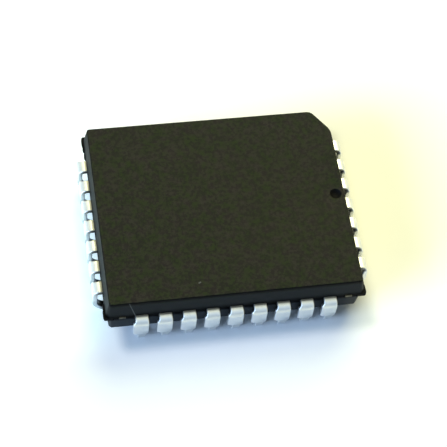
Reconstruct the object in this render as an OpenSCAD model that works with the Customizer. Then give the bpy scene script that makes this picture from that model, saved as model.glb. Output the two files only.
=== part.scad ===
// Plastic leaded chip carrier: a moulded body with a row of J leads on each of its four sides.
// The origin lies on the seating plane under the middle of the body, and +Z points up.
// +X points to the end with pin 1, and the cut index corner lies at +X and +Y. Sizes are in millimetres.

/* [Moulded body] */
// Distance from the middle of the last lead in a row to the end of the body
corner_room = 1.92; // [1.6:0.01:2.4]
// Height of the underside above the seating plane
standoff = 0.69; // [0.5:0.01:1]
// Thickness of the lower half, from the underside up to the parting line
lower_t = 1.46; // [1.2:0.01:2]
// Thickness of the upper half, from the parting line up to the top
upper_t = 1.21; // [0.9:0.01:2]
// Draft angle of the upper half's sides
upper_draft = 9.5; // [3:0.5:15]
// Draft angle of the lower half's sides
lower_draft = 5; // [3:0.5:15]
// How far the lower half is set in from the upper half at the parting line
lower_step = 0.1; // [0.02:0.01:0.2]
// Cut of the index corner along X
index_cut_l = 1.03; // [0.8:0.01:1.4]
// Cut of the index corner along Y
index_cut_w = 1.45; // [0.8:0.01:1.6]
// Cut of the other three corners, along each of their two sides
corner_cut = 0.2; // [0.12:0.01:0.5]
// How far the ribs of flash at those three corners stand out of the body's ends
flash_out = 0.1; // [0.03:0.01:0.2]
// Length of those ribs along the body's ends
flash_l = 0.9; // [0.5:0.01:1.1]
// Diameter of the pin 1 dimple at the top face
dimple_d = 0.64; // [0.4:0.01:1]
// Depth of the pin 1 dimple
dimple_depth = 0.14; // [0.05:0.01:0.3]
// Distance from the rim of the dimple to the edge of the top face
dimple_edge = 0.17; // [0.05:0.01:1]

/* [Leads] */
// Spacing of the leads along each side
lead_pitch = 1.27; // [1.2:0.01:1.5]
// Thickness of the lead frame's sheet
lead_t = 0.254; // [0.2:0.002:0.33]
// Width of a lead at its shoulder
lead_w = 0.71; // [0.6:0.01:0.8]
// How far the stub of the cut dam bar stands out of one edge of a lead
dam_stub = 0.12; // [0.02:0.01:0.15]
// Drop from the top of the shoulder to the full width of that stub
stub_drop = 0.2; // [0.18:0.01:0.4]
// Width of a lead at its foot
foot_w = 0.43; // [0.33:0.01:0.53]
// How far a lead stands out from the body at the parting line
lead_out = 0.495; // [0.4:0.005:0.6]
// Inside radius of the shoulder bend
shoulder_r = 0.13; // [0.08:0.01:0.25]
// Inside radius of the J bend at the foot
foot_r = 0.64; // [0.4:0.01:0.8]
// How far the J bend goes on past its lowest point, in degrees
foot_sweep = 75; // [30:1:90]
// Drop from the top of the shoulder to the end of the wide part
wide_drop = 1.3; // [0.9:0.01:1.35]
// Height of the tapers above and below the wide part
taper_h = 0.14; // [0.05:0.01:0.17]
// Clearance round the tip of a lead in its pocket under the body
tip_gap = 0.15; // [0.08:0.01:0.2]

/* [Lead frame in the body] */
// Length that a lead keeps its full width inside the body
entry_l = 0.6; // [0.3:0.01:0.9]
// Width of a lead's inner tip
finger_w = 0.3; // [0.2:0.01:0.4]
// Gap between the paddle and the inner tips
finger_gap = 0.35; // [0.2:0.01:0.5]
// Distance from a paddle corner to the middle of the nearest inner tip, along the paddle's edge
finger_room = 0.22; // [0.15:0.01:0.4]
// Length of the paddle along X
paddle_l = 5.4; // [4.4:0.1:6.4]
// Width of the paddle along Y
paddle_w = 4.4; // [3.4:0.1:5]
// How far the paddle lies below the leads
paddle_drop = 0.25; // [0.1:0.01:0.4]
// Width of the tie bars
tie_w = 0.36; // [0.2:0.01:0.45]
// Distance from the middle of a tie bar's outer end to the end of the body
tie_room = 0.9; // [0.7:0.01:1.1]
// Length of the straight outer end of a tie bar
tie_end = 0.85; // [0.5:0.01:1]
// Length of the ramp that carries a tie bar down to the paddle
tie_ramp = 0.6; // [0.3:0.01:1]
// How far the cut ends of the tie bars stand out of the body
tie_proud = 0.04; // [0.01:0.01:0.1]

/* [Die and bond wires] */
// Length of the die along X
die_l = 3.6; // [3:0.1:4.2]
// Width of the die along Y
die_w = 2.6; // [2.2:0.1:3.2]
// Thickness of the die
die_t = 0.36; // [0.25:0.01:0.5]
// Thickness of the adhesive under the die
attach_t = 0.03; // [0.02:0.01:0.06]
// How far the adhesive shows round the die
attach_rim = 0.1; // [0.05:0.01:0.2]
// Distance from the middle of a bond pad to the edge of the die
pad_inset = 0.12; // [0.08:0.01:0.2]
// Thickness of a bond wire
wire_d = 0.032; // [0.025:0.001:0.05]
// Height of a wire's loop above the die
loop_h = 0.2; // [0.12:0.01:0.3]
// Diameter of the ball that ends a wire on the die
ball_d = 0.08; // [0.06:0.01:0.1]
// Height of that ball
ball_h = 0.03; // [0.02:0.005:0.05]
// Length of the stitch that ends a wire on a lead
stitch_l = 0.12; // [0.08:0.01:0.16]
// Distance from a lead's inner tip to the middle of the stitch
stitch_in = 0.15; // [0.1:0.01:0.3]

/* [Hidden] */
$fn = 64;
// Leads on each short side and on each long side
short_n = 7;
long_n = 9;
lead_n = 2 * (short_n + long_n);
// Leads that the usual memory pinout leaves without a wire
open_pins = [1, 12, 17, 26];
// Straight stretches in one wire's loop, and the share of its run over which it stays high
wire_steps = 6;
loop_share = 0.6;
// A length past the whole part, for cuts
past = 2 * (long_n * lead_pitch + 2 * corner_room);

body_l = (long_n - 1) * lead_pitch + 2 * corner_room;
body_w = (short_n - 1) * lead_pitch + 2 * corner_room;
parting_z = standoff + lower_t;
top_z = parting_z + upper_t;
top_half_l = body_l / 2 - upper_t * tan(upper_draft);
lead_top_z = parting_z + lead_t / 2;
shoulder_out_r = shoulder_r + lead_t;
foot_out_r = foot_r + lead_t;
wide_end_z = lead_top_z - wide_drop;
paddle_top_z = lead_top_z - paddle_drop;
die_top_z = paddle_top_z + attach_t + die_t;
// Distance from a die corner to the first pad beside it
pad_room = 2 * pad_inset;

// Leads are counted from pin 1, in the middle of the +X side, towards +Y and on round the body.
// Sides 0 to 3 face +X, +Y, -X and -Y, and a side's own x axis points out of the body.
side_n = [short_n, long_n, short_n, long_n];
side_first = [0, short_n, short_n + long_n, 2 * short_n + long_n];
function lead_name(pin) = str("lead_", pin < 10 ? "0" : "", pin);
function place_of(pin) = (pin - 1 + (short_n - 1) / 2) % lead_n;
function side_of(pin) = len([for (first = side_first) if (place_of(pin) >= first) first]) - 1;
function step_of(pin) = place_of(pin) - side_first[side_of(pin)] - (side_n[side_of(pin)] - 1) / 2;
function lead_y(pin) = step_of(pin) * lead_pitch;

// A side looks along the length or across the width of the body, the paddle and the die.
function ends(side) = side % 2 == 0;
function face_x(side) = (ends(side) ? body_l : body_w) / 2;
function outer_x(side) = face_x(side) + lead_out;
function entry_x(side) = face_x(side) - entry_l;
function finger_x(side) = (ends(side) ? paddle_l : paddle_w) / 2 + finger_gap;
function finger_span(side) = (ends(side) ? paddle_w : paddle_l) - 2 * finger_room;
function finger_y(pin) = step_of(pin) * finger_span(side_of(pin)) / (side_n[side_of(pin)] - 1);
function pad_x(side) = (ends(side) ? die_l : die_w) / 2 - pad_inset;
function pad_span(side) = (ends(side) ? die_w : die_l) - 2 * pad_room;
function pad_y(pin) = step_of(pin) * pad_span(side_of(pin)) / (side_n[side_of(pin)] - 1);

// Outline of a body half at the parting line, anticlockwise from the index corner.
function cut_corner(x, y, cut_l, cut_w) =
    x * y > 0 ? [[x, y - sign(y) * cut_w], [x - sign(x) * cut_l, y]]
              : [[x - sign(x) * cut_l, y], [x, y - sign(y) * cut_w]];
function half_outline(inset) =
    let (x = body_l / 2 - inset, y = body_w / 2 - inset)
    concat(cut_corner(x, y, index_cut_l, index_cut_w), cut_corner(-x, y, corner_cut, corner_cut),
           cut_corner(-x, -y, corner_cut, corner_cut), cut_corner(x, -y, corner_cut, corner_cut));

// One half of the body standing on the parting line, with every side leaning in by the draft.
module drafted_half(height, draft, inset) {
    outline = half_outline(inset);
    corners = len(outline);
    difference() {
        linear_extrude(height) polygon(outline);
        for (i = [0:corners - 1]) {
            a = outline[i];
            b = outline[(i + 1) % corners];
            translate([a.x, a.y, 0])
                rotate([0, 0, atan2(b.y - a.y, b.x - a.x)])
                rotate([-draft, 0, 0])
                translate([-past / 2, -past, -past / 2])
                cube(past);
        }
    }
}

// A rib of flash as thick as the lead frame, left along one end of the body where its dam bar met a corner.
module flash_rib(end_sign, side_sign) {
    inner_x = body_l / 2 - 2 * corner_cut;
    outer_x = body_l / 2 + flash_out;
    near_y = body_w / 2 - flash_l;
    far_y = body_w / 2;
    soft = flash_out / 2;
    translate([0, 0, parting_z - lead_t / 2])
        linear_extrude(lead_t)
        scale([end_sign, side_sign])
        polygon([[inner_x, near_y], [outer_x - soft, near_y], [outer_x, near_y + soft],
                 [outer_x, far_y - soft], [outer_x - soft, far_y], [inner_x, far_y]]);
}

// The shallow bowl that marks pin 1.
module pin_1_dimple() {
    bowl_r = (dimple_d * dimple_d / 4 + dimple_depth * dimple_depth) / (2 * dimple_depth);
    translate([top_half_l - dimple_edge - dimple_d / 2, 0, top_z - dimple_depth + bowl_r])
        sphere(bowl_r);
}

// The recess under the body that clears the tip of one lead.
module tip_pocket(pin) {
    side = side_of(pin);
    bend_x = outer_x(side) - foot_out_r;
    reach = foot_out_r * sin(min(foot_sweep, 90));
    roof_z = foot_out_r - foot_r * cos(foot_sweep) + tip_gap;
    pocket_w = foot_w + 2 * tip_gap;
    pocket_l = reach + tip_gap - foot_r / 2;
    rotate([0, 0, 90 * side])
        translate([bend_x - reach - tip_gap, lead_y(pin) - pocket_w / 2, 0])
        cube([pocket_l, pocket_w, roof_z]);
}

module moulded_body() {
    color("#2e2e28")
    difference() {
        union() {
            translate([0, 0, parting_z]) {
                drafted_half(upper_t, upper_draft, 0);
                mirror([0, 0, 1]) drafted_half(lower_t, lower_draft, lower_step);
            }
            flash_rib(-1, 1);
            flash_rib(-1, -1);
            flash_rib(1, -1);
        }
        pin_1_dimple();
        for (pin = [1:lead_n]) {
            tip_pocket(pin);
            lead(pin);
        }
        die_paddle();
        die_attach();
        die();
        bond_wires();
    }
}

// A slice of a ring round the origin that starts at the x axis and runs clockwise.
module ring_slice(inner_r, outer_r, sweep) {
    slice = [for (i = [0:4]) 2 * outer_r * [cos(i * sweep / 4), -sin(i * sweep / 4)]];
    intersection() {
        difference() {
            circle(outer_r);
            circle(inner_r);
        }
        polygon(concat([[0, 0]], slice));
    }
}

// Side profile of a lead: in along the lead plane, round the shoulder, down, and round under the body.
module lead_profile(side) {
    bend_x = outer_x(side) - shoulder_out_r;
    bend_z = lead_top_z - shoulder_out_r;
    translate([entry_x(side), parting_z - lead_t / 2]) square([bend_x - entry_x(side), lead_t]);
    translate([bend_x, bend_z]) rotate(90) ring_slice(shoulder_r, shoulder_out_r, 90);
    translate([outer_x(side) - lead_t, foot_out_r]) square([lead_t, bend_z - foot_out_r]);
    translate([outer_x(side) - foot_out_r, foot_out_r]) ring_slice(foot_r, foot_out_r, 90 + foot_sweep);
}

// Front outline of a lead: a stub of the dam bar on one edge from the shoulder down, then a taper to the foot.
module lead_front() {
    stub_z = lead_top_z - stub_drop;
    stub_x = lead_w / 2 + dam_stub;
    polygon([[lead_w / 2, top_z], [lead_w / 2, wide_end_z + taper_h],
             [foot_w / 2, wide_end_z], [foot_w / 2, -past],
             [-foot_w / 2, -past], [-foot_w / 2, wide_end_z],
             [-stub_x, wide_end_z + taper_h], [-stub_x, stub_z],
             [-lead_w / 2, stub_z + taper_h], [-lead_w / 2, top_z]]);
}

// One lead: the formed part outside the body, and the finger inside it that fans in to the paddle.
module lead(pin) {
    side = side_of(pin);
    aside = finger_y(pin) - lead_y(pin);
    color("#c8c8c2")
    rotate([0, 0, 90 * side])
        translate([0, lead_y(pin), 0]) {
            intersection() {
                rotate([90, 0, 0]) linear_extrude(lead_w + 2 * dam_stub, center = true) lead_profile(side);
                rotate([90, 0, 90]) linear_extrude(past) lead_front();
            }
            translate([0, 0, parting_z - lead_t / 2])
                linear_extrude(lead_t)
                polygon([[entry_x(side), -lead_w / 2], [entry_x(side), lead_w / 2],
                         [finger_x(side), aside + finger_w / 2], [finger_x(side), aside - finger_w / 2]]);
        }
}

// One tie bar, from a paddle corner up the ramp to the lead plane, then straight out through the side.
module tie_bar(end_sign, side_sign) {
    root = [end_sign * (paddle_l - tie_w) / 2, side_sign * (paddle_w - tie_w) / 2];
    knee = [end_sign * (body_l / 2 - tie_room), side_sign * (body_w / 2 - tie_end)];
    run = knee - root;
    run_l = norm(run);
    ramp_start = (run_l - tie_ramp) / 2;
    under = [[0, -paddle_drop], [ramp_start, -paddle_drop], [ramp_start + tie_ramp, 0], [run_l, 0]];
    over = [for (i = [len(under) - 1:-1:0]) under[i] + [0, lead_t]];
    end_l = tie_end + tie_proud;
    translate([root.x, root.y, parting_z - lead_t / 2])
        rotate([90, 0, atan2(run.y, run.x)])
        linear_extrude(tie_w, center = true)
        polygon(concat(under, over));
    translate([knee.x, knee.y, parting_z - lead_t / 2]) {
        cylinder(d = tie_w, h = lead_t);
        translate([-tie_w / 2, side_sign > 0 ? 0 : -end_l, 0]) cube([tie_w, end_l, lead_t]);
    }
}

module die_paddle() {
    color("#b87a4b")
    difference() {
        union() {
            translate([-paddle_l / 2, -paddle_w / 2, paddle_top_z - lead_t])
                cube([paddle_l, paddle_w, lead_t]);
            for (end_sign = [-1, 1])
                for (side_sign = [-1, 1])
                    tie_bar(end_sign, side_sign);
        }
        // The index corner's tie bar is sheared along that corner.
        translate([body_l / 2, body_w / 2 - index_cut_w, 0])
            rotate([0, 0, atan2(index_cut_l, index_cut_w)])
            translate([tie_proud, -past / 2, 0])
            cube(past);
    }
}

module die_attach() {
    color("#d8d8d8")
    translate([-die_l / 2 - attach_rim, -die_w / 2 - attach_rim, paddle_top_z])
        cube([die_l + 2 * attach_rim, die_w + 2 * attach_rim, attach_t]);
}

module die() {
    color("#59636f")
    translate([-die_l / 2, -die_w / 2, paddle_top_z + attach_t])
        cube([die_l, die_w, die_t]);
}

// A point at share t of the curve that four control points set.
function bend_at(p, t) =
    pow(1 - t, 3) * p[0] + 3 * pow(1 - t, 2) * t * p[1] + 3 * (1 - t) * t * t * p[2] + pow(t, 3) * p[3];
function unit(v) = v / norm(v);

// One bond wire: a ball on the die, a loop and a stitch on the lead's inner tip.
module bond_wire(pin) {
    side = side_of(pin);
    stitch_h = wire_d / 2;
    lean = (lead_y(pin) - finger_y(pin)) / (entry_x(side) - finger_x(side));
    start = [pad_x(side), pad_y(pin)];
    finish = [finger_x(side) + stitch_in, finger_y(pin) + lean * stitch_in];
    run = finish - start;
    run_l = norm(run);
    foot_z = lead_top_z - die_top_z;
    curve = [[0, ball_h / 2], [0, 2 * loop_h], [loop_share * run_l, loop_h], [run_l, foot_z + stitch_h]];
    middle = [for (i = [0:wire_steps]) bend_at(curve, i / wire_steps)];
    along = [for (i = [0:wire_steps]) unit(middle[min(i + 1, wire_steps)] - middle[max(i - 1, 0)])];
    offset_by = [for (d = along) wire_d / 2 * [-d.y, d.x]];
    ribbon = concat([for (i = [0:wire_steps]) middle[i] + offset_by[i]],
                    [for (i = [wire_steps:-1:0]) middle[i] - offset_by[i]]);
    rotate([0, 0, 90 * side])
        translate([start.x, start.y, die_top_z])
        rotate([0, 0, atan2(run.y, run.x)]) {
            cylinder(d = ball_d, h = ball_h);
            rotate([90, 0, 0]) linear_extrude(wire_d, center = true) polygon(ribbon);
            translate([run_l - stitch_l / 2, -wire_d, foot_z]) cube([stitch_l, 2 * wire_d, stitch_h]);
        }
}

module bond_wires() {
    color("gold")
    for (pin = [1:lead_n])
        if (len(search(pin, open_pins)) == 0)
            bond_wire(pin);
}

moulded_body();
for (pin = [1:lead_n])
    lead(pin);
die_paddle();
die_attach();
die();
bond_wires();
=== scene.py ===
import math

import bmesh
import bpy
from mathutils import Matrix, Vector


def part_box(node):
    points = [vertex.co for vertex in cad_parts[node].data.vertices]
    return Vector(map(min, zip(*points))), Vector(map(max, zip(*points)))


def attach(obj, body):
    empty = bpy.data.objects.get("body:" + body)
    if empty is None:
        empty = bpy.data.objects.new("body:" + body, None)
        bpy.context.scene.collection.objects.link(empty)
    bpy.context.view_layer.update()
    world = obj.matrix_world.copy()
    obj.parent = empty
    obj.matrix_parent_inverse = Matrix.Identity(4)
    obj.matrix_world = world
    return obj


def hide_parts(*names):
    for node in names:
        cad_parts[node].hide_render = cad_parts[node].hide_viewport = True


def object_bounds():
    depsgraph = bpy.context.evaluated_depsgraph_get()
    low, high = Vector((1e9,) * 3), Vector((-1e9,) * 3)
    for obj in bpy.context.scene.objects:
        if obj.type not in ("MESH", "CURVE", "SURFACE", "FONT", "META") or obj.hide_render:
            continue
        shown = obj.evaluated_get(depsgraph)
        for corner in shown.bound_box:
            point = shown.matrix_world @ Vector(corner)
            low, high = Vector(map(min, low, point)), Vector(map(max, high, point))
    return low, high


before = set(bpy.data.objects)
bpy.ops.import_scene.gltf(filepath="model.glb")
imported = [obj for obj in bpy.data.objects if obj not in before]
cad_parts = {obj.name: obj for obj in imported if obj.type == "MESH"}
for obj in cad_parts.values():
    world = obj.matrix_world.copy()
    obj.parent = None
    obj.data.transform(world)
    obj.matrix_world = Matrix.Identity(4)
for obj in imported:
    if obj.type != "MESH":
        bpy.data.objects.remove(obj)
cad_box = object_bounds()


# Moulded body
# One block of black epoxy filled with silica, moulded round the lead frame in a two-part tool. Its sides lean in
# from the parting line, and the cut corner and the bowl in the top face show where pin 1 is.

MM = 0.001
body_low, body_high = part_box("moulded_body")
flash_out = 0.1 * MM
body_half = Vector((body_high.x - flash_out, body_high.y))
underside_z, top_z = body_low.z, body_high.z
sheet_t = 0.254 * MM
parting_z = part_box("lead_01")[1].z - sheet_t / 2
upper_draft, lower_draft = math.radians(9.5), math.radians(5)
upper_lean = (top_z - parting_z) * math.tan(upper_draft)
lower_lean = (parting_z - underside_z) * math.tan(lower_draft)
lower_step = 0.1 * MM
neck_in, neck_h = 0.09 * MM, 0.1 * MM
flat_rim = 0.15 * MM
index_cut = Vector((1.03, 1.45)) * MM
corner_cut = 0.2 * MM
index_r, corner_r = 0.45 * MM, 0.14 * MM
top_edge_r, parting_edge_r, lower_edge_r = 0.15 * MM, 0.09 * MM, 0.07 * MM

dimple_r = 0.32 * MM
dimple_depth = 0.14 * MM
dimple_rim = 0.025 * MM
dimple_to_edge = 0.17 * MM
dimple_x = body_half.x - upper_lean - dimple_to_edge - dimple_r

# A rounded corner takes no more than a share of its sides, and has a guard point close before and after its arc.
longest_arc = 0.42
guard, longest_guard = 0.018 * MM, 0.06


def round_off(points, radii, steps):
    """A line whose corners are rounded by arcs, with guard points that keep the flats beside them flat."""
    line = []
    for i, point in enumerate(points):
        corner = Vector(point)
        if radii[i] == 0:
            line.append(corner)
            continue
        back = Vector(points[i - 1]) - corner
        on = Vector(points[(i + 1) % len(points)]) - corner
        turn = math.pi - back.angle(on)
        reach = min(radii[i] * math.tan(turn / 2), longest_arc * back.length, longest_arc * on.length)
        start = corner + back.normalized() * reach
        end = corner + on.normalized() * reach
        weight = math.cos(turn / 2)
        line.append(start + back.normalized() * min(guard, longest_guard * back.length))
        for step in range(steps + 1):
            t = step / steps
            a, b, c = (1 - t) ** 2, 2 * t * (1 - t) * weight, t * t
            line.append((a * start + b * corner + c * end) / (a + b + c))
        line.append(end + on.normalized() * min(guard, longest_guard * on.length))
    return line


def body_outline(inset, from_inset):
    """The body seen from above, set in from its widest outline. Its corner cuts shrink as its sides lean in."""
    x, y = body_half.x - inset, body_half.y - inset
    lean = inset - from_inset
    per_l, per_w = 1 / index_cut.x, 1 / index_cut.y
    index = index_cut * (1 - lean * (per_l + per_w - math.hypot(per_l, per_w)))
    small = corner_cut - lean * (2 - math.sqrt(2))
    corners = [(x, y - index.y), (x - index.x, y), (-x + small, y), (-x, y - small),
               (-x, -y + small), (-x + small, -y), (x - small, -y), (x, -y + small)]
    return round_off(corners, [2 * index_r, index_r] + [corner_r] * 6, steps=6)


def add_ring(bm, points, z):
    return [bm.verts.new((p.x, p.y, z)) for p in points]


def join_rings(bm, one, other):
    for i in range(len(one)):
        j = (i + 1) % len(one)
        bm.faces.new((one[i], one[j], other[j], other[i]))


def fill_flat(bm, rings):
    """Faces over the flat between an outer ring and the rings of the holes in it."""
    edges = []
    for ring in rings:
        for i, vert in enumerate(ring):
            following = ring[(i + 1) % len(ring)]
            edges.append(bm.edges.get((vert, following)) or bm.edges.new((vert, following)))
    bmesh.ops.triangle_fill(bm, use_beauty=True, edges=edges)


def finish_piece(name, bm, node, sharp_from):
    """A piece from its mesh: smooth but for its sharp edges, riding on the body and standing for its CAD node."""
    bmesh.ops.recalc_face_normals(bm, faces=bm.faces)
    mesh = bpy.data.meshes.new(name)
    bm.to_mesh(mesh)
    bm.free()
    mesh.shade_smooth()
    mesh.set_sharp_from_angle(angle=math.radians(sharp_from))
    piece = bpy.data.objects.new(name, mesh)
    bpy.context.scene.collection.objects.link(piece)
    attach(piece, "root")
    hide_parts(node)
    return piece


# The leads stand at one pitch, nine on each long side and seven on each short side, and are counted from pin 1.
# Sides 0 to 3 face +X, +Y, -X and -Y. A side's own x axis points out of the body.
lead_pitch = 1.27 * MM
side_count = [7, 9, 7, 9]
lead_count = sum(side_count)
lead_out = cad_box[1][0] - body_half.x
foot_w = 0.43 * MM
foot_r = 0.64 * MM
foot_outer_r = foot_r + sheet_t
foot_sweep = math.radians(75)
tip_gap = 0.15 * MM


def lead_place(pin):
    """The side that a lead stands on, and its steps along that side from the middle."""
    place = (pin - 1 + side_count[0] // 2) % lead_count
    side = 0
    while place >= side_count[side]:
        place -= side_count[side]
        side += 1
    return side, place - side_count[side] // 2


def face_x(side):
    return body_half.x if side % 2 == 0 else body_half.y


def side_turn(side):
    return Matrix.Rotation(math.pi / 2 * side, 4, "Z")


def build_shell(bm):
    """The drafted sides of both halves, from the underside's rim to the top face's rim. Returns those two rims."""
    bottom_in = lower_step + lower_lean
    neck = lower_step + neck_in
    lower = round_off([(bottom_in + flat_rim, underside_z), (bottom_in, underside_z),
                       (lower_step, parting_z - 2 * neck_h), (neck, parting_z - neck_h), (neck, parting_z)],
                      [0, lower_edge_r, lower_edge_r, parting_edge_r, 0], steps=5)
    upper = round_off([(neck / 2, parting_z), (0, parting_z), (upper_lean, top_z), (upper_lean + flat_rim, top_z)],
                      [0, parting_edge_r, top_edge_r, 0], steps=5)
    rings = [add_ring(bm, body_outline(p.x, lower_step), p.y) for p in lower]
    rings += [add_ring(bm, body_outline(p.x, 0), p.y) for p in upper]
    for one, other in zip(rings, rings[1:]):
        join_rings(bm, one, other)
    return rings[0], rings[-1]


def sink_dimple(bm):
    """The bowl, from a soft rim down to its middle. Returns its rim."""
    bowl_r = (dimple_r ** 2 + dimple_depth ** 2) / (2 * dimple_depth)
    rim_angle = math.asin(dimple_r / bowl_r)
    bowl = [(dimple_r + dimple_rim, 0), (dimple_r + 0.4 * dimple_rim, -0.12 * dimple_rim),
            (dimple_r, -0.35 * dimple_rim)]
    for share in (0.93, 0.85, 0.7, 0.55, 0.4, 0.25, 0.1):
        angle = share * rim_angle
        bowl.append((bowl_r * math.sin(angle), bowl_r - dimple_depth - bowl_r * math.cos(angle)))
    sides = 40
    around = [Vector((math.cos(a), math.sin(a))) for a in (math.tau * i / sides for i in range(sides))]
    middle = Vector((dimple_x, 0))
    rings = [add_ring(bm, [middle + r * a for a in around], top_z + z) for r, z in bowl]
    for one, other in zip(rings, rings[1:]):
        join_rings(bm, one, other)
    bm.faces.new(rings[-1])
    return rings[0]


def sink_pocket(bm, pin):
    """The pocket under the body over one lead's tip. Returns its mouth."""
    pocket_draft, pocket_r = 0.03 * MM, 0.06 * MM
    reach = foot_outer_r * math.sin(foot_sweep)
    roof_z = foot_outer_r - foot_r * math.cos(foot_sweep) + tip_gap
    half_w = foot_w / 2 + tip_gap
    side, step = lead_place(pin)
    turn = side_turn(side)
    inner_x = face_x(side) + lead_out - foot_outer_r - reach - tip_gap
    outer_x = inner_x + reach + tip_gap - foot_r / 2
    rings = []
    for z, draw in ((underside_z, 0), (roof_z, pocket_draft)):
        corners = [(inner_x + draw, -half_w + draw), (outer_x - draw, -half_w + draw),
                   (outer_x - draw, half_w - draw), (inner_x + draw, half_w - draw)]
        line = round_off([(x, y + step * lead_pitch) for x, y in corners], [pocket_r] * 4, steps=3)
        rings.append(add_ring(bm, [(turn @ p.to_3d()).to_2d() for p in line], z))
    join_rings(bm, *rings)
    bm.faces.new(rings[1])
    return rings[0]


def add_flash(bm, end, wing, outline):
    """A rib of flash at the parting line, from places along the side in mm and shares of the flash's reach."""
    flash_edge_r = 0.04 * MM
    root_x = body_half.x - 2 * corner_cut
    edge = [(body_half.x + out * flash_out, body_half.y - along * MM) for along, out in reversed(outline)]
    line = [(root_x, edge[0][1])] + edge + [(root_x, edge[-1][1])]
    half_t = sheet_t / 2
    layers = [(-half_t, flash_edge_r), (flash_edge_r - half_t, 0), (half_t - flash_edge_r, 0), (half_t, flash_edge_r)]
    rings = [add_ring(bm, [Vector((end * (x - draw), wing * y)) for x, y in line], parting_z + z) for z, draw in layers]
    for one, other in zip(rings, rings[1:]):
        join_rings(bm, one, other)
    bm.faces.new(rings[0])
    bm.faces.new(rings[-1])


def build_body():
    bm = bmesh.new()
    bottom_rim, top_rim = build_shell(bm)
    fill_flat(bm, [top_rim, sink_dimple(bm)])
    fill_flat(bm, [bottom_rim] + [sink_pocket(bm, pin) for pin in range(1, lead_count + 1)])
    # Ribs stand at the three plain corners, uneven along their outer edge, and one lump of flash further along.
    rib = [(0.0, 0.45), (0.03, 0.7), (0.12, 0.96), (0.3, 1.0), (0.48, 0.97), (0.59, 0.66), (0.7, 0.8), (0.84, 0.7),
           (0.9, 0.55)]
    lump = [(1.02, 0.1), (1.06, 0.36), (1.2, 0.5), (1.34, 0.42), (1.42, 0.1)]
    for end, wing, outline in ((-1, 1, rib), (-1, -1, rib), (1, -1, rib), (-1, 1, lump)):
        add_flash(bm, end, wing, outline)
    return finish_piece("epoxy_body", bm, "moulded_body", sharp_from=38)


def put(tree, kind, inputs=None, **settings):
    """One shader node, with its settings, and its inputs as values or as other nodes' outputs."""
    made = tree.nodes.new(kind)
    for name, value in settings.items():
        setattr(made, name, value)
    for name, value in (inputs or {}).items():
        if isinstance(value, bpy.types.NodeSocket):
            tree.links.new(value, made.inputs[name])
        else:
            made.inputs[name].default_value = value
    return made


def math_of(tree, operation, *values, clamp=False):
    return put(tree, "ShaderNodeMath", dict(enumerate(values)), operation=operation, use_clamp=clamp).outputs[0]


def vector_of(tree, operation, *values, output=0):
    return put(tree, "ShaderNodeVectorMath", dict(enumerate(values)), operation=operation).outputs[output]


def times(tree, *values):
    product = values[0]
    for value in values[1:]:
        product = math_of(tree, "MULTIPLY", product, value)
    return product


def rest_of(tree, share):
    """What a share leaves of 1."""
    return math_of(tree, "SUBTRACT", 1.0, share)


def blend_of(tree, share, one, other):
    """A colour between two others."""
    return put(tree, "ShaderNodeMix", {0: share, 6: one, 7: other}, data_type="RGBA").outputs[2]


def ramp_of(tree, value, low, high):
    """0 up to low, 1 from high, and a soft change between them."""
    return put(tree, "ShaderNodeMapRange", {"Value": value, "From Min": low, "From Max": high},
               interpolation_type="SMOOTHSTEP").outputs[0]


def change_of(tree, value, start, end, low=0.0, high=1.0):
    """An even change from start to end while a value goes from low to high."""
    return put(tree, "ShaderNodeMapRange", {
        "Value": value, "From Min": low, "From Max": high, "To Min": start, "To Max": end}).outputs[0]


def new_finish(name, **constants):
    """A material with its shader, and the place on the piece that its patterns follow."""
    material = bpy.data.materials.new(name)
    material.use_nodes = True
    tree = material.node_tree
    shader = next(n for n in tree.nodes if n.type == "BSDF_PRINCIPLED")
    for socket, value in constants.items():
        shader.inputs[socket.replace("_", " ")].default_value = value
    where = put(tree, "ShaderNodeTexCoord").outputs["Object"]
    return material, tree, shader, where


def feed(tree, shader, sources):
    for socket, source in sources.items():
        tree.links.new(source, shader.inputs[socket])


def bump_of(tree, height, strength, depth):
    return put(tree, "ShaderNodeBump", {"Strength": strength, "Distance": depth, "Height": height}).outputs[0]


def height_of(tree, where):
    return put(tree, "ShaderNodeSeparateXYZ", {"Vector": where}).outputs["Z"]


def new_group(name, inputs, outputs):
    """An empty shader node group with named sockets, what it is given, and its output node."""
    group = bpy.data.node_groups.new(name, "ShaderNodeTree")
    for label, kind in inputs.items():
        group.interface.new_socket(label, in_out="INPUT", socket_type="NodeSocket" + kind)
    for label in outputs:
        group.interface.new_socket(label, in_out="OUTPUT", socket_type="NodeSocketFloat")
    return group, group.nodes.new("NodeGroupInput").outputs, group.nodes.new("NodeGroupOutput")


def surface_grain_group():
    """Grain of a surface at three sizes: cloudy patches, a fine grain, and a few bright specks."""
    group, given, result = new_group(
        "surface_grain", {"Where": "Vector", "Patches": "Float", "Grain": "Float", "Specks": "Float"},
        ["Patch", "Grain", "Speck"])
    patch = put(group, "ShaderNodeTexNoise",
                {"Vector": given["Where"], "Scale": given["Patches"], "Detail": 4.0, "Roughness": 0.6}).outputs[0]
    grain = put(group, "ShaderNodeTexNoise",
                {"Vector": given["Where"], "Scale": given["Grain"], "Detail": 3.0, "Roughness": 0.65}).outputs[0]
    cell = put(group, "ShaderNodeTexVoronoi", {"Vector": given["Where"], "Scale": given["Specks"]}).outputs
    draw = put(group, "ShaderNodeSeparateColor", {"Color": cell["Color"]}).outputs[0]
    chosen = math_of(group, "GREATER_THAN", draw, 0.8)
    near = rest_of(group, ramp_of(group, cell["Distance"], 0.1, 0.35))
    feed(group, result, {
        "Patch": ramp_of(group, patch, 0.3, 0.7), "Grain": grain, "Speck": times(group, chosen, near)})
    return group


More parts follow.
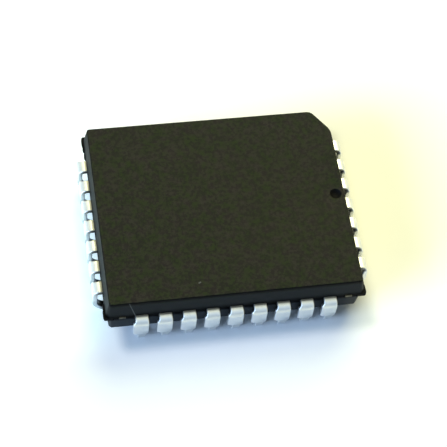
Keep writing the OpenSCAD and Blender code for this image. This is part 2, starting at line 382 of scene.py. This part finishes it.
def line_mark_group():
    """A mark along a straight line on a surface: full in its middle, fading to its edge."""
    group, given, result = new_group(
        "line_mark", {"Where": "Vector", "Start": "Vector", "End": "Vector", "Width": "Float"}, ["Mark"])
    span = vector_of(group, "SUBTRACT", given["End"], given["Start"])
    away = vector_of(group, "SUBTRACT", given["Where"], given["Start"])
    share = math_of(group, "DIVIDE", vector_of(group, "DOT_PRODUCT", away, span, output=1),
                    vector_of(group, "DOT_PRODUCT", span, span, output=1), clamp=True)
    along = put(group, "ShaderNodeVectorMath", {0: span, "Scale": share}, operation="SCALE").outputs[0]
    off = vector_of(group, "DISTANCE", away, along, output=1)
    feed(group, result, {"Mark": rest_of(group, math_of(group, "DIVIDE", off, given["Width"], clamp=True))})
    return group


surface_grain = surface_grain_group()
line_mark = line_mark_group()


def grain_of(tree, where, patches, grain, specks):
    """The surface grain on one piece, by how many patches, grains and specks lie along a metre."""
    return put(tree, "ShaderNodeGroup", {"Where": where, "Patches": patches, "Grain": grain, "Specks": specks},
               node_tree=surface_grain).outputs


def mark_of(tree, where, start, end, width):
    """A line mark on one piece, with its two ends and its width in mm."""
    return put(tree, "ShaderNodeGroup", {
        "Where": where, "Start": Vector(start) * MM, "End": Vector(end) * MM, "Width": width * MM},
        node_tree=line_mark).outputs["Mark"]


def mould_compound():
    green_black, red_black = (0.0010, 0.0034, 0.0002, 1), (0.0052, 0.0028, 0.0040, 1)
    green_grey, red_grey = (0.0118, 0.0205, 0.0028, 1), (0.0216, 0.0184, 0.0140, 1)
    silica_grey, worn_grey = (0.05, 0.048, 0.036, 1), (0.16, 0.165, 0.15, 1)
    # Painted shade: the sides drawn darker and bluer, a dark top edge, and a painted shadow at the parting line.
    side_shade_black, edge_shade_black = (0.0005, 0.0030, 0.0055, 1), (0.001, 0.0011, 0.0010, 1)
    seam_shadow_black = (0.0002, 0.0002, 0.0002, 1)

    material, tree, shader, where = new_finish("mould_compound", Specular_IOR_Level=0.2, Coat_Roughness=0.3)
    grain = grain_of(tree, where, patches=2000.0, grain=5500.0, specks=9000.0)
    height = height_of(tree, where)

    # Places: the leaning sides, the top edge, the bowl, the parting line, and two marks of wear.
    side = ramp_of(tree, height, top_z - 0.12 * MM, top_z - 0.3 * MM)
    edge = math_of(tree, "SUBTRACT", ramp_of(tree, height, top_z - 0.2 * MM, top_z - 0.15 * MM),
                   ramp_of(tree, height, top_z - 0.02 * MM, top_z - 0.003 * MM))
    from_dimple = vector_of(tree, "DISTANCE", where, (dimple_x, 0, top_z), output=1)
    bowl = ramp_of(tree, from_dimple, 0.36 * MM, 0.20 * MM)
    seam_shadow = math_of(tree, "SUBTRACT", ramp_of(tree, height, parting_z - 0.48 * MM, parting_z - 0.3 * MM),
                   ramp_of(tree, height, parting_z + 0.02 * MM, parting_z + 0.45 * MM))
    scratch = mark_of(tree, where, start=(-5.74, -5.55, 3.34), end=(-5.39, -5.73, 2.2), width=0.035)
    nick = mark_of(tree, where, start=(-1.95, -4.71, top_z / MM), end=(-1.87, -4.67, top_z / MM), width=0.05)
    worn = math_of(tree, "MAXIMUM", scratch, nick)

    dark = blend_of(tree, grain["Patch"], green_black, red_black)
    pale = blend_of(tree, grain["Patch"], green_grey, red_grey)
    black = blend_of(tree, ramp_of(tree, grain["Grain"], 0.38, 0.62), dark, pale)
    black = blend_of(tree, times(tree, grain["Speck"], 0.2), black, silica_grey)
    # Painted shade: the leaning sides are drawn darker and bluer than the top.
    black = blend_of(tree, times(tree, side, 0.8), black, side_shade_black)
    # Painted shade: a dark line along the rounded top edge.
    black = blend_of(tree, edge, black, edge_shade_black)
    # Painted shadow: a black band round the parting line, under the upper half's overhang.
    black = blend_of(tree, seam_shadow, black, seam_shadow_black)

    # A black metal hardly shines, so the bowl, the top edge and the parting line take some of its dullness. This is
    # painted shade: it keeps them dark.
    shade_dullness = math_of(tree, "MAXIMUM", times(tree, edge, 0.6), times(tree, seam_shadow, 0.7))
    shade_dullness = math_of(tree, "MAXIMUM", times(tree, bowl, 0.6), shade_dullness)
    matt = change_of(tree, grain["Grain"], 0.6, 0.85)
    polish = times(tree, edge, rest_of(tree, bowl))
    shine = change_of(tree, height, 0.34, 0.14, low=underside_z, high=parting_z + 0.45 * MM)
    feed(tree, shader, {
        "Base Color": blend_of(tree, worn, black, worn_grey),
        "Metallic": times(tree, shade_dullness, rest_of(tree, worn)),
        "Roughness": math_of(tree, "MULTIPLY_ADD", polish, -0.2, matt),
        "Coat Weight": times(tree, shine, side, rest_of(tree, seam_shadow)),
        "Normal": bump_of(tree, grain["Grain"], strength=0.35, depth=0.012 * MM)})
    return material


epoxy_body = build_body()
epoxy_body.data.materials.append(mould_compound())


# Leads
# Thirty-two strips stamped from copper alloy sheet and plated with matt tin. Each leaves the body at the parting line,
# bends down over a tight shoulder, narrows, and curls under the body as a J with its tip in a pocket.

lead_w = 0.71 * MM
dam_stub = 0.12 * MM
shoulder_r = 0.13 * MM
shoulder_outer_r = shoulder_r + sheet_t
lead_top_z = parting_z + sheet_t / 2
stub_z = lead_top_z - 0.2 * MM
wide_end_z = lead_top_z - 1.3 * MM
taper_h = 0.14 * MM
sheet_edge_r = 0.05 * MM
tip_blunt = 0.02 * MM
finger_w = 0.3 * MM
finger_reach = [3.05 * MM, 2.55 * MM]
finger_span = [3.96 * MM, 4.96 * MM]
entry_l, root_l = 0.6 * MM, 0.1 * MM
# Resin and painted shade on the lead: a band all round its root, partly mould flash and partly painted shade, and
# painted shade along its side edges further out and down.
root_resin_and_shade = 0.1 * MM
edge_shade_out, edge_shade_down = 0.46 * MM, 0.5 * MM


def share_left(length, full, end):
    """1 up to one length, none from another, and even between them."""
    return min(max((end - length) / (end - full), 0), 1)


def lead_width(z):
    """Width of a lead's bent part at a height, and how far its middle lies off the lead's line."""
    stub = dam_stub * share_left(z, stub_z, stub_z + taper_h)
    wide = 1 - share_left(z, wide_end_z, wide_end_z + taper_h)
    return foot_w + (lead_w + stub - foot_w) * wide, -stub / 2 * wide


def lead_stations(side, step):
    """Places along a lead from its inner tip to its foot: x, z, heading, shift along the side, and width."""
    outer_x = face_x(side) + lead_out
    aside = step * (finger_span[side % 2] / (side_count[side] - 1) - lead_pitch)
    stations = [(finger_reach[side % 2], parting_z, 0, aside, finger_w),
                (face_x(side) - entry_l, parting_z, 0, 0, lead_w),
                (face_x(side) - root_l, parting_z, 0, 0, lead_w),
                (face_x(side) + root_resin_and_shade / 2, parting_z, 0, 0, lead_w)]
    bend_x, bend_z = outer_x - shoulder_outer_r, lead_top_z - shoulder_outer_r
    middle_r = shoulder_r + sheet_t / 2
    steps = 12
    for i in range(steps + 1):
        angle = math.pi / 2 * i / steps
        width, aside = lead_width(bend_z + shoulder_outer_r * math.cos(angle))
        x, z = bend_x + middle_r * math.sin(angle), bend_z + middle_r * math.cos(angle)
        stations.append((x, z, -angle, aside, width))
    for z in (wide_end_z + taper_h + guard, wide_end_z + taper_h, wide_end_z, wide_end_z - guard):
        width, aside = lead_width(z)
        stations.append((outer_x - sheet_t / 2, z, -math.pi / 2, aside, width))
    middle_r = foot_r + sheet_t / 2
    steps = 24
    for i in range(steps + 1):
        angle = (math.pi / 2 + foot_sweep) * i / steps
        x, z = outer_x - foot_outer_r + middle_r * math.cos(angle), foot_outer_r - middle_r * math.sin(angle)
        stations.append((x, z, -math.pi / 2 - angle, 0, foot_w))
    return stations


def build_lead(pin):
    side, step = lead_place(pin)
    place = side_turn(side) @ Matrix.Translation((0, step * lead_pitch, 0))
    bm = bmesh.new()
    resin_and_shade = bm.verts.layers.float.new("resin_and_shade")
    sheared = bm.verts.layers.float.new("sheared")

    def section(x, z, heading, aside, width, draw=0.0):
        half_w, half_t = width / 2 - draw, sheet_t / 2 - draw
        corners = [(half_w, half_t), (-half_w, half_t), (-half_w, -half_t), (half_w, -half_t)]
        on_stub = share_left(z, stub_z - taper_h, stub_z)
        ring = []
        for p in round_off(corners, [sheet_edge_r] * 4, steps=3):
            out = Vector((x - p.y * math.sin(heading), aside + p.x, z + p.y * math.cos(heading)))
            proud, down = out.x - face_x(side), lead_top_z - out.z
            on_edge = share_left(half_w - abs(p.x), 0, sheet_edge_r)
            on_edge *= share_left(down, sheet_t, edge_shade_down)
            on_edge *= share_left(proud, edge_shade_down / 3, edge_shade_out)
            vert = bm.verts.new(place @ out)
            # Partly resin, partly painted shade: dark at the root, and painted shade along the side edges near the
            # body.
            vert[resin_and_shade] = max(on_edge, share_left(proud, root_resin_and_shade / 3, root_resin_and_shade))
            # Painted highlight: the stub's one edge is marked to be drawn brighter.
            vert[sheared] = on_stub * share_left(half_w + p.x + aside, 0, half_w / 3)
            ring.append(vert)
        return ring

    stations = lead_stations(side, step)
    x, z, heading, aside, width = stations.pop()
    stations.append((x - tip_blunt * math.cos(heading), z - tip_blunt * math.sin(heading), heading, aside, width))
    rings = [section(*station) for station in stations]
    rings.append(section(x, z, heading, aside, width, draw=tip_blunt))
    for one, other in zip(rings, rings[1:]):
        join_rings(bm, one, other)
    bm.faces.new(rings[0])
    bm.faces.new(rings[-1])
    node = f"lead_{pin:02d}"
    return finish_piece(f"tinned_{node}", bm, node, sharp_from=50)


def matt_tin():
    grey_tin, pale_tin = (0.84, 0.87, 0.87, 1), (0.92, 0.94, 0.93, 1)
    pit_grey, resin_and_shade_brown = (0.55, 0.53, 0.48, 1), (0.08, 0.068, 0.045, 1)
    foot_shade_tin, highlight_tin = (0.30, 0.34, 0.38, 1), (0.97, 0.98, 0.98, 1)
    foot_shade_from_z, foot_shade_to_z = 1.55 * MM, 1.15 * MM

    material, tree, shader, where = new_finish("matt_tin", Metallic=1.0)
    grain = grain_of(tree, where, patches=2200.0, grain=26000.0, specks=12000.0)
    resin_and_shade = put(tree, "ShaderNodeAttribute", attribute_name="resin_and_shade").outputs["Fac"]
    sheared = put(tree, "ShaderNodeAttribute", attribute_name="sheared").outputs["Fac"]
    low = ramp_of(tree, height_of(tree, where), foot_shade_from_z, foot_shade_to_z)
    tin = blend_of(tree, grain["Patch"], grey_tin, pale_tin)
    tin = blend_of(tree, times(tree, grain["Speck"], 0.35), tin, pit_grey)
    # Partly resin, partly painted shade: a brown band at each lead's root, and painted shade along its side edges.
    tin = blend_of(tree, times(tree, resin_and_shade, 0.9), tin, resin_and_shade_brown)
    # Painted shade: the lower part of each lead is drawn darker and bluer, except at the stub's bright edge.
    tin = blend_of(tree, times(tree, low, rest_of(tree, sheared), 0.5), tin, foot_shade_tin)
    # Painted highlight: a bright patch on the stub's edge.
    tin = blend_of(tree, times(tree, sheared, 0.7), tin, highlight_tin)
    feed(tree, shader, {
        "Base Color": tin,
        "Roughness": change_of(tree, grain["Grain"], 0.36, 0.52),
        "Normal": bump_of(tree, grain["Grain"], strength=0.25, depth=0.008 * MM)})
    return material


tin_finish = matt_tin()
for pin in range(1, lead_count + 1):
    build_lead(pin).data.materials.append(tin_finish)


# Paddle with its tie bars
# The middle of the lead frame, in the same copper alloy sheet. It carries the die, and the sheared ends of its four
# tie bars show bare metal at the parting line beside the body's corners.

def dress(node, finish):
    """A CAD piece keeps its shape and gets a finish."""
    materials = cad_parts[node].data.materials
    materials.clear()
    materials.append(finish)


def bare_copper():
    brown_copper, pale_copper = (0.10, 0.09, 0.06, 1), (0.22, 0.20, 0.14, 1)
    lower_cut_black = (0.012, 0.011, 0.008, 1)

    material, tree, shader, where = new_finish("bare_copper", Metallic=1.0)
    grain = grain_of(tree, where, patches=3000.0, grain=20000.0, specks=9000.0)
    # The lower part of the cut is drawn near black and the upper part copper, with an uneven border between them.
    cut = math_of(tree, "MULTIPLY_ADD", grain["Patch"], 0.07 * MM, height_of(tree, where))
    copper_part = ramp_of(tree, cut, parting_z + 0.03 * MM, parting_z + 0.08 * MM)
    copper = blend_of(tree, grain["Patch"], brown_copper, pale_copper)
    feed(tree, shader, {
        "Base Color": blend_of(tree, copper_part, lower_cut_black, copper),
        "Roughness": change_of(tree, grain["Grain"], 0.3, 0.55),
        "Normal": bump_of(tree, grain["Grain"], strength=0.3, depth=0.01 * MM)})
    return material


dress("die_paddle", bare_copper())


# Die and its adhesive
# A diced piece of silicon, polished on top, bedded on the paddle in a thin layer of epoxy filled with silver flake.
# Both are sealed inside the body.

def silver_adhesive():
    dark_grey, pale_grey, flake = (0.42, 0.42, 0.41, 1), (0.70, 0.70, 0.68, 1), (0.9, 0.9, 0.88, 1)

    material, tree, shader, where = new_finish("silver_adhesive", Metallic=0.7)
    grain = grain_of(tree, where, patches=4000.0, grain=24000.0, specks=15000.0)
    grey = blend_of(tree, grain["Grain"], dark_grey, pale_grey)
    feed(tree, shader, {
        "Base Color": blend_of(tree, grain["Speck"], grey, flake),
        "Roughness": change_of(tree, grain["Patch"], 0.4, 0.7),
        "Normal": bump_of(tree, grain["Grain"], strength=0.4, depth=0.01 * MM)})
    return material


def silicon():
    cell_blue, cell_violet, track_grey = (0.10, 0.13, 0.17, 1), (0.17, 0.16, 0.21, 1), (0.24, 0.27, 0.25, 1)
    oxide_blue = (0.13, 0.15, 0.20, 1)

    material, tree, shader, where = new_finish("silicon", Metallic=0.35)
    grain = grain_of(tree, where, patches=1500.0, grain=9000.0, specks=9000.0)
    cells = put(tree, "ShaderNodeTexBrick", {
        "Vector": where, "Scale": 2500.0, "Color1": cell_blue, "Color2": cell_violet, "Mortar": track_grey,
        "Mortar Size": 0.03}).outputs
    feed(tree, shader, {
        "Base Color": blend_of(tree, grain["Patch"], cells["Color"], oxide_blue),
        "Roughness": change_of(tree, grain["Grain"], 0.12, 0.25),
        "Normal": bump_of(tree, cells["Fac"], strength=0.2, depth=0.004 * MM)})
    return material


dress("die_attach", silver_adhesive())
dress("die", silicon())


# Bond wires
# Fine gold wires, each with a ball pressed on the die and a flat stitch on a lead's inner tip. They are sealed inside
# the body as well.

def gold_wire():
    deep_gold, pale_gold = (0.90, 0.66, 0.26, 1), (0.98, 0.78, 0.38, 1)

    material, tree, shader, where = new_finish("gold_wire", Metallic=1.0)
    grain = grain_of(tree, where, patches=5000.0, grain=40000.0, specks=20000.0)
    feed(tree, shader, {
        "Base Color": blend_of(tree, grain["Patch"], deep_gold, pale_gold),
        "Roughness": change_of(tree, grain["Grain"], 0.15, 0.3)})
    return material


dress("bond_wires", gold_wire())


# Floor
# A sheet of white paper that the part stands on, wide enough for every view. The camera and the metal see it a little
# brighter than the lamps make it, with painted warm light on the right and painted cool light on the left. It keeps the
# part's shadow, and the glow is left out close round the part, which paints a little more shade there.

floor_half = 0.4
shade_middle, shade_half = (0.9 * MM, -0.2 * MM, 0), (6.5 * MM, 5.95 * MM, 0)
warm_spot, warm_near, warm_far = (9.5 * MM, 1.5 * MM, 0), 2.0 * MM, 11.0 * MM
cool_from_x, cool_full_x = -5.0 * MM, -8.0 * MM
strip_inner_y, strip_outer_y = 4.5 * MM, 7.5 * MM
floor_bm = bmesh.new()
bmesh.ops.create_grid(floor_bm, x_segments=8, y_segments=8, size=floor_half)
floor_mesh = bpy.data.meshes.new("floor")
floor_bm.to_mesh(floor_mesh)
floor_bm.free()
floor = bpy.data.objects.new("floor", floor_mesh)
bpy.context.scene.collection.objects.link(floor)


def white_paper():
    paper = (0.86, 0.86, 0.86, 1)
    white_glow, warm_glow, cool_glow = (1, 1, 1, 1), (1.0, 0.95, 0.45, 1), (0.7, 1.0, 1.0, 1)

    material, tree, shader, where = new_finish("white_paper", Base_Color=paper, Roughness=0.9, Specular_IOR_Level=0.1)
    across = put(tree, "ShaderNodeSeparateXYZ", {"Vector": where}).outputs
    # Distance from the shade under the part, and the strips of paper beside, behind and in front of it.
    off = vector_of(tree, "ABSOLUTE", vector_of(tree, "SUBTRACT", where, shade_middle))
    outside = vector_of(tree, "MAXIMUM", vector_of(tree, "SUBTRACT", off, shade_half), (0, 0, 0))
    beyond = vector_of(tree, "LENGTH", outside, output=1)
    not_in_front = ramp_of(tree, across["Y"], -strip_outer_y, -strip_inner_y)
    beside = times(tree, not_in_front, ramp_of(tree, across["Y"], strip_outer_y, strip_inner_y))
    warmth = ramp_of(tree, vector_of(tree, "DISTANCE", where, warm_spot, output=1), warm_far, warm_near)
    coolness = times(tree, not_in_front, ramp_of(tree, across["X"], cool_from_x, cool_full_x))

    ray = put(tree, "ShaderNodeLightPath").outputs
    # Painted shade: the glow is left out under and close round the part, so the floor there stays darker.
    seen = times(tree, ray["Is Camera Ray"], ramp_of(tree, beyond, 0.0, 1.0 * MM))
    mirrored = times(tree, math_of(tree, "MAXIMUM", ray["Is Glossy Ray"], ray["Is Transmission Ray"]),
                     math_of(tree, "MULTIPLY_ADD", beside, 0.8, 0.2), ramp_of(tree, beyond, 0.3 * MM, 1.8 * MM))
    # Painted light: the glow is stronger and cooler on the left, and warmer round a spot on the right.
    strength = math_of(tree, "MULTIPLY_ADD", coolness, 0.35, 0.3)
    glow = put(tree, "ShaderNodeEmission", {
        "Color": blend_of(tree, warmth, blend_of(tree, coolness, white_glow, cool_glow), warm_glow),
        "Strength": times(tree, strength, math_of(tree, "ADD", seen, mirrored))})
    both = put(tree, "ShaderNodeAddShader", {0: shader.outputs[0], 1: glow.outputs[0]})
    output = next(n for n in tree.nodes if n.type == "OUTPUT_MATERIAL")
    feed(tree, output, {"Surface": both.outputs[0]})
    return material


floor_mesh.materials.append(white_paper())


# Light
# A warm soft lamp behind the part on the right, a weak one overhead and a cool one low on the left. A pale room
# stands round them, warm behind and cool in front, which the metal sees brighter than it lights the part.

lamp_distance = 0.3


def soft_lamp(name, azimuth, elevation, size, power, colour):
    """A square lamp facing the part, at an angle round it from the front and an angle above the floor."""
    data = bpy.data.lights.new(name, "AREA")
    data.size = size
    data.energy = power
    data.color = colour
    lamp = bpy.data.objects.new(name, data)
    a, e = math.radians(azimuth), math.radians(elevation)
    out = Vector((math.sin(a) * math.cos(e), -math.cos(a) * math.cos(e), math.sin(e)))
    lamp.location = lamp_distance * out
    lamp.rotation_euler = out.to_track_quat("Z", "Y").to_euler()
    bpy.context.scene.collection.objects.link(lamp)


soft_lamp("warm_lamp", azimuth=156, elevation=42, size=0.22, power=0.83, colour=(1.0, 0.97, 0.55))
soft_lamp("top_lamp", azimuth=175, elevation=80, size=0.1, power=0.03, colour=(1.0, 0.96, 0.66))
soft_lamp("cool_lamp", azimuth=-66, elevation=24, size=0.14, power=0.92, colour=(0.46, 0.66, 0.98))

world = bpy.data.worlds.new("pale_room")
bpy.context.scene.world = world
world.use_nodes = True
room = world.node_tree
room_light = next(n for n in room.nodes if n.type == "BACKGROUND")
room_white, room_warm = (1, 1, 1, 1), (1.04, 1.0, 0.62, 1)
room_cool, room_cool_in_metal = (0.36, 0.74, 1.3, 1), (0.74, 0.92, 1.12, 1)
to_warm_wall, to_front, to_window = (0.6, 0.8, 0), (-0.15, -0.98, 0.1), (0.1, 0.75, 0.65)
toward = put(room, "ShaderNodeTexCoord").outputs["Generated"]
room_ray = put(room, "ShaderNodeLightPath").outputs


def facing(direction):
    return vector_of(room, "DOT_PRODUCT", toward, direction, output=1)


warm_share = change_of(room, facing(to_warm_wall), 0.0, 1.0, low=-0.6, high=0.6)
cool_tint = blend_of(room, room_ray["Is Glossy Ray"], room_cool, room_cool_in_metal)
tint = blend_of(room, warm_share, cool_tint, room_warm)
in_metal = change_of(room, ramp_of(room, facing(to_front), 0.6, 0.95), 0.8, 0.4)
on_part = change_of(room, facing(to_window), 0.08, 0.34, low=-0.7, high=0.7)
room_level = put(room, "ShaderNodeMix", {0: room_ray["Is Glossy Ray"], 2: on_part, 3: in_metal},
                 data_type="FLOAT").outputs[0]
feed(room, room_light, {
    "Color": blend_of(room, room_ray["Is Camera Ray"], tint, room_white),
    "Strength": math_of(room, "MAXIMUM", room_level, room_ray["Is Camera Ray"])})


# Camera
# It stands in front of the part and a little to its left, about 90 mm away, and looks down on it steeply.
# It is rolled, so that the part's front edge rises to the right.

camera_data = bpy.data.cameras.new("camera")
camera_data.sensor_width = 36
camera_data.lens = 127.34
camera_data.clip_start = 0.001
camera = bpy.data.objects.new("camera", camera_data)
camera_aim = Vector((0.153, -0.297, 1.7)) * MM
camera_distance = 87.153 * MM
azimuth, elevation, roll = math.radians(-16.259), math.radians(59.2), math.radians(8.908)
back = Vector((math.sin(azimuth) * math.cos(elevation), -math.cos(azimuth) * math.cos(elevation),
               math.sin(elevation)))
level = Vector((math.cos(azimuth), math.sin(azimuth), 0))
upright = back.cross(level)
right = math.cos(roll) * level + math.sin(roll) * upright
up = math.cos(roll) * upright - math.sin(roll) * level
camera_turn = Matrix((right, up, back)).transposed().to_4x4()
camera.matrix_world = Matrix.Translation(camera_aim + camera_distance * back) @ camera_turn
bpy.context.scene.collection.objects.link(camera)
bpy.context.scene.camera = camera
bpy.context.scene.view_settings.view_transform = "Standard"
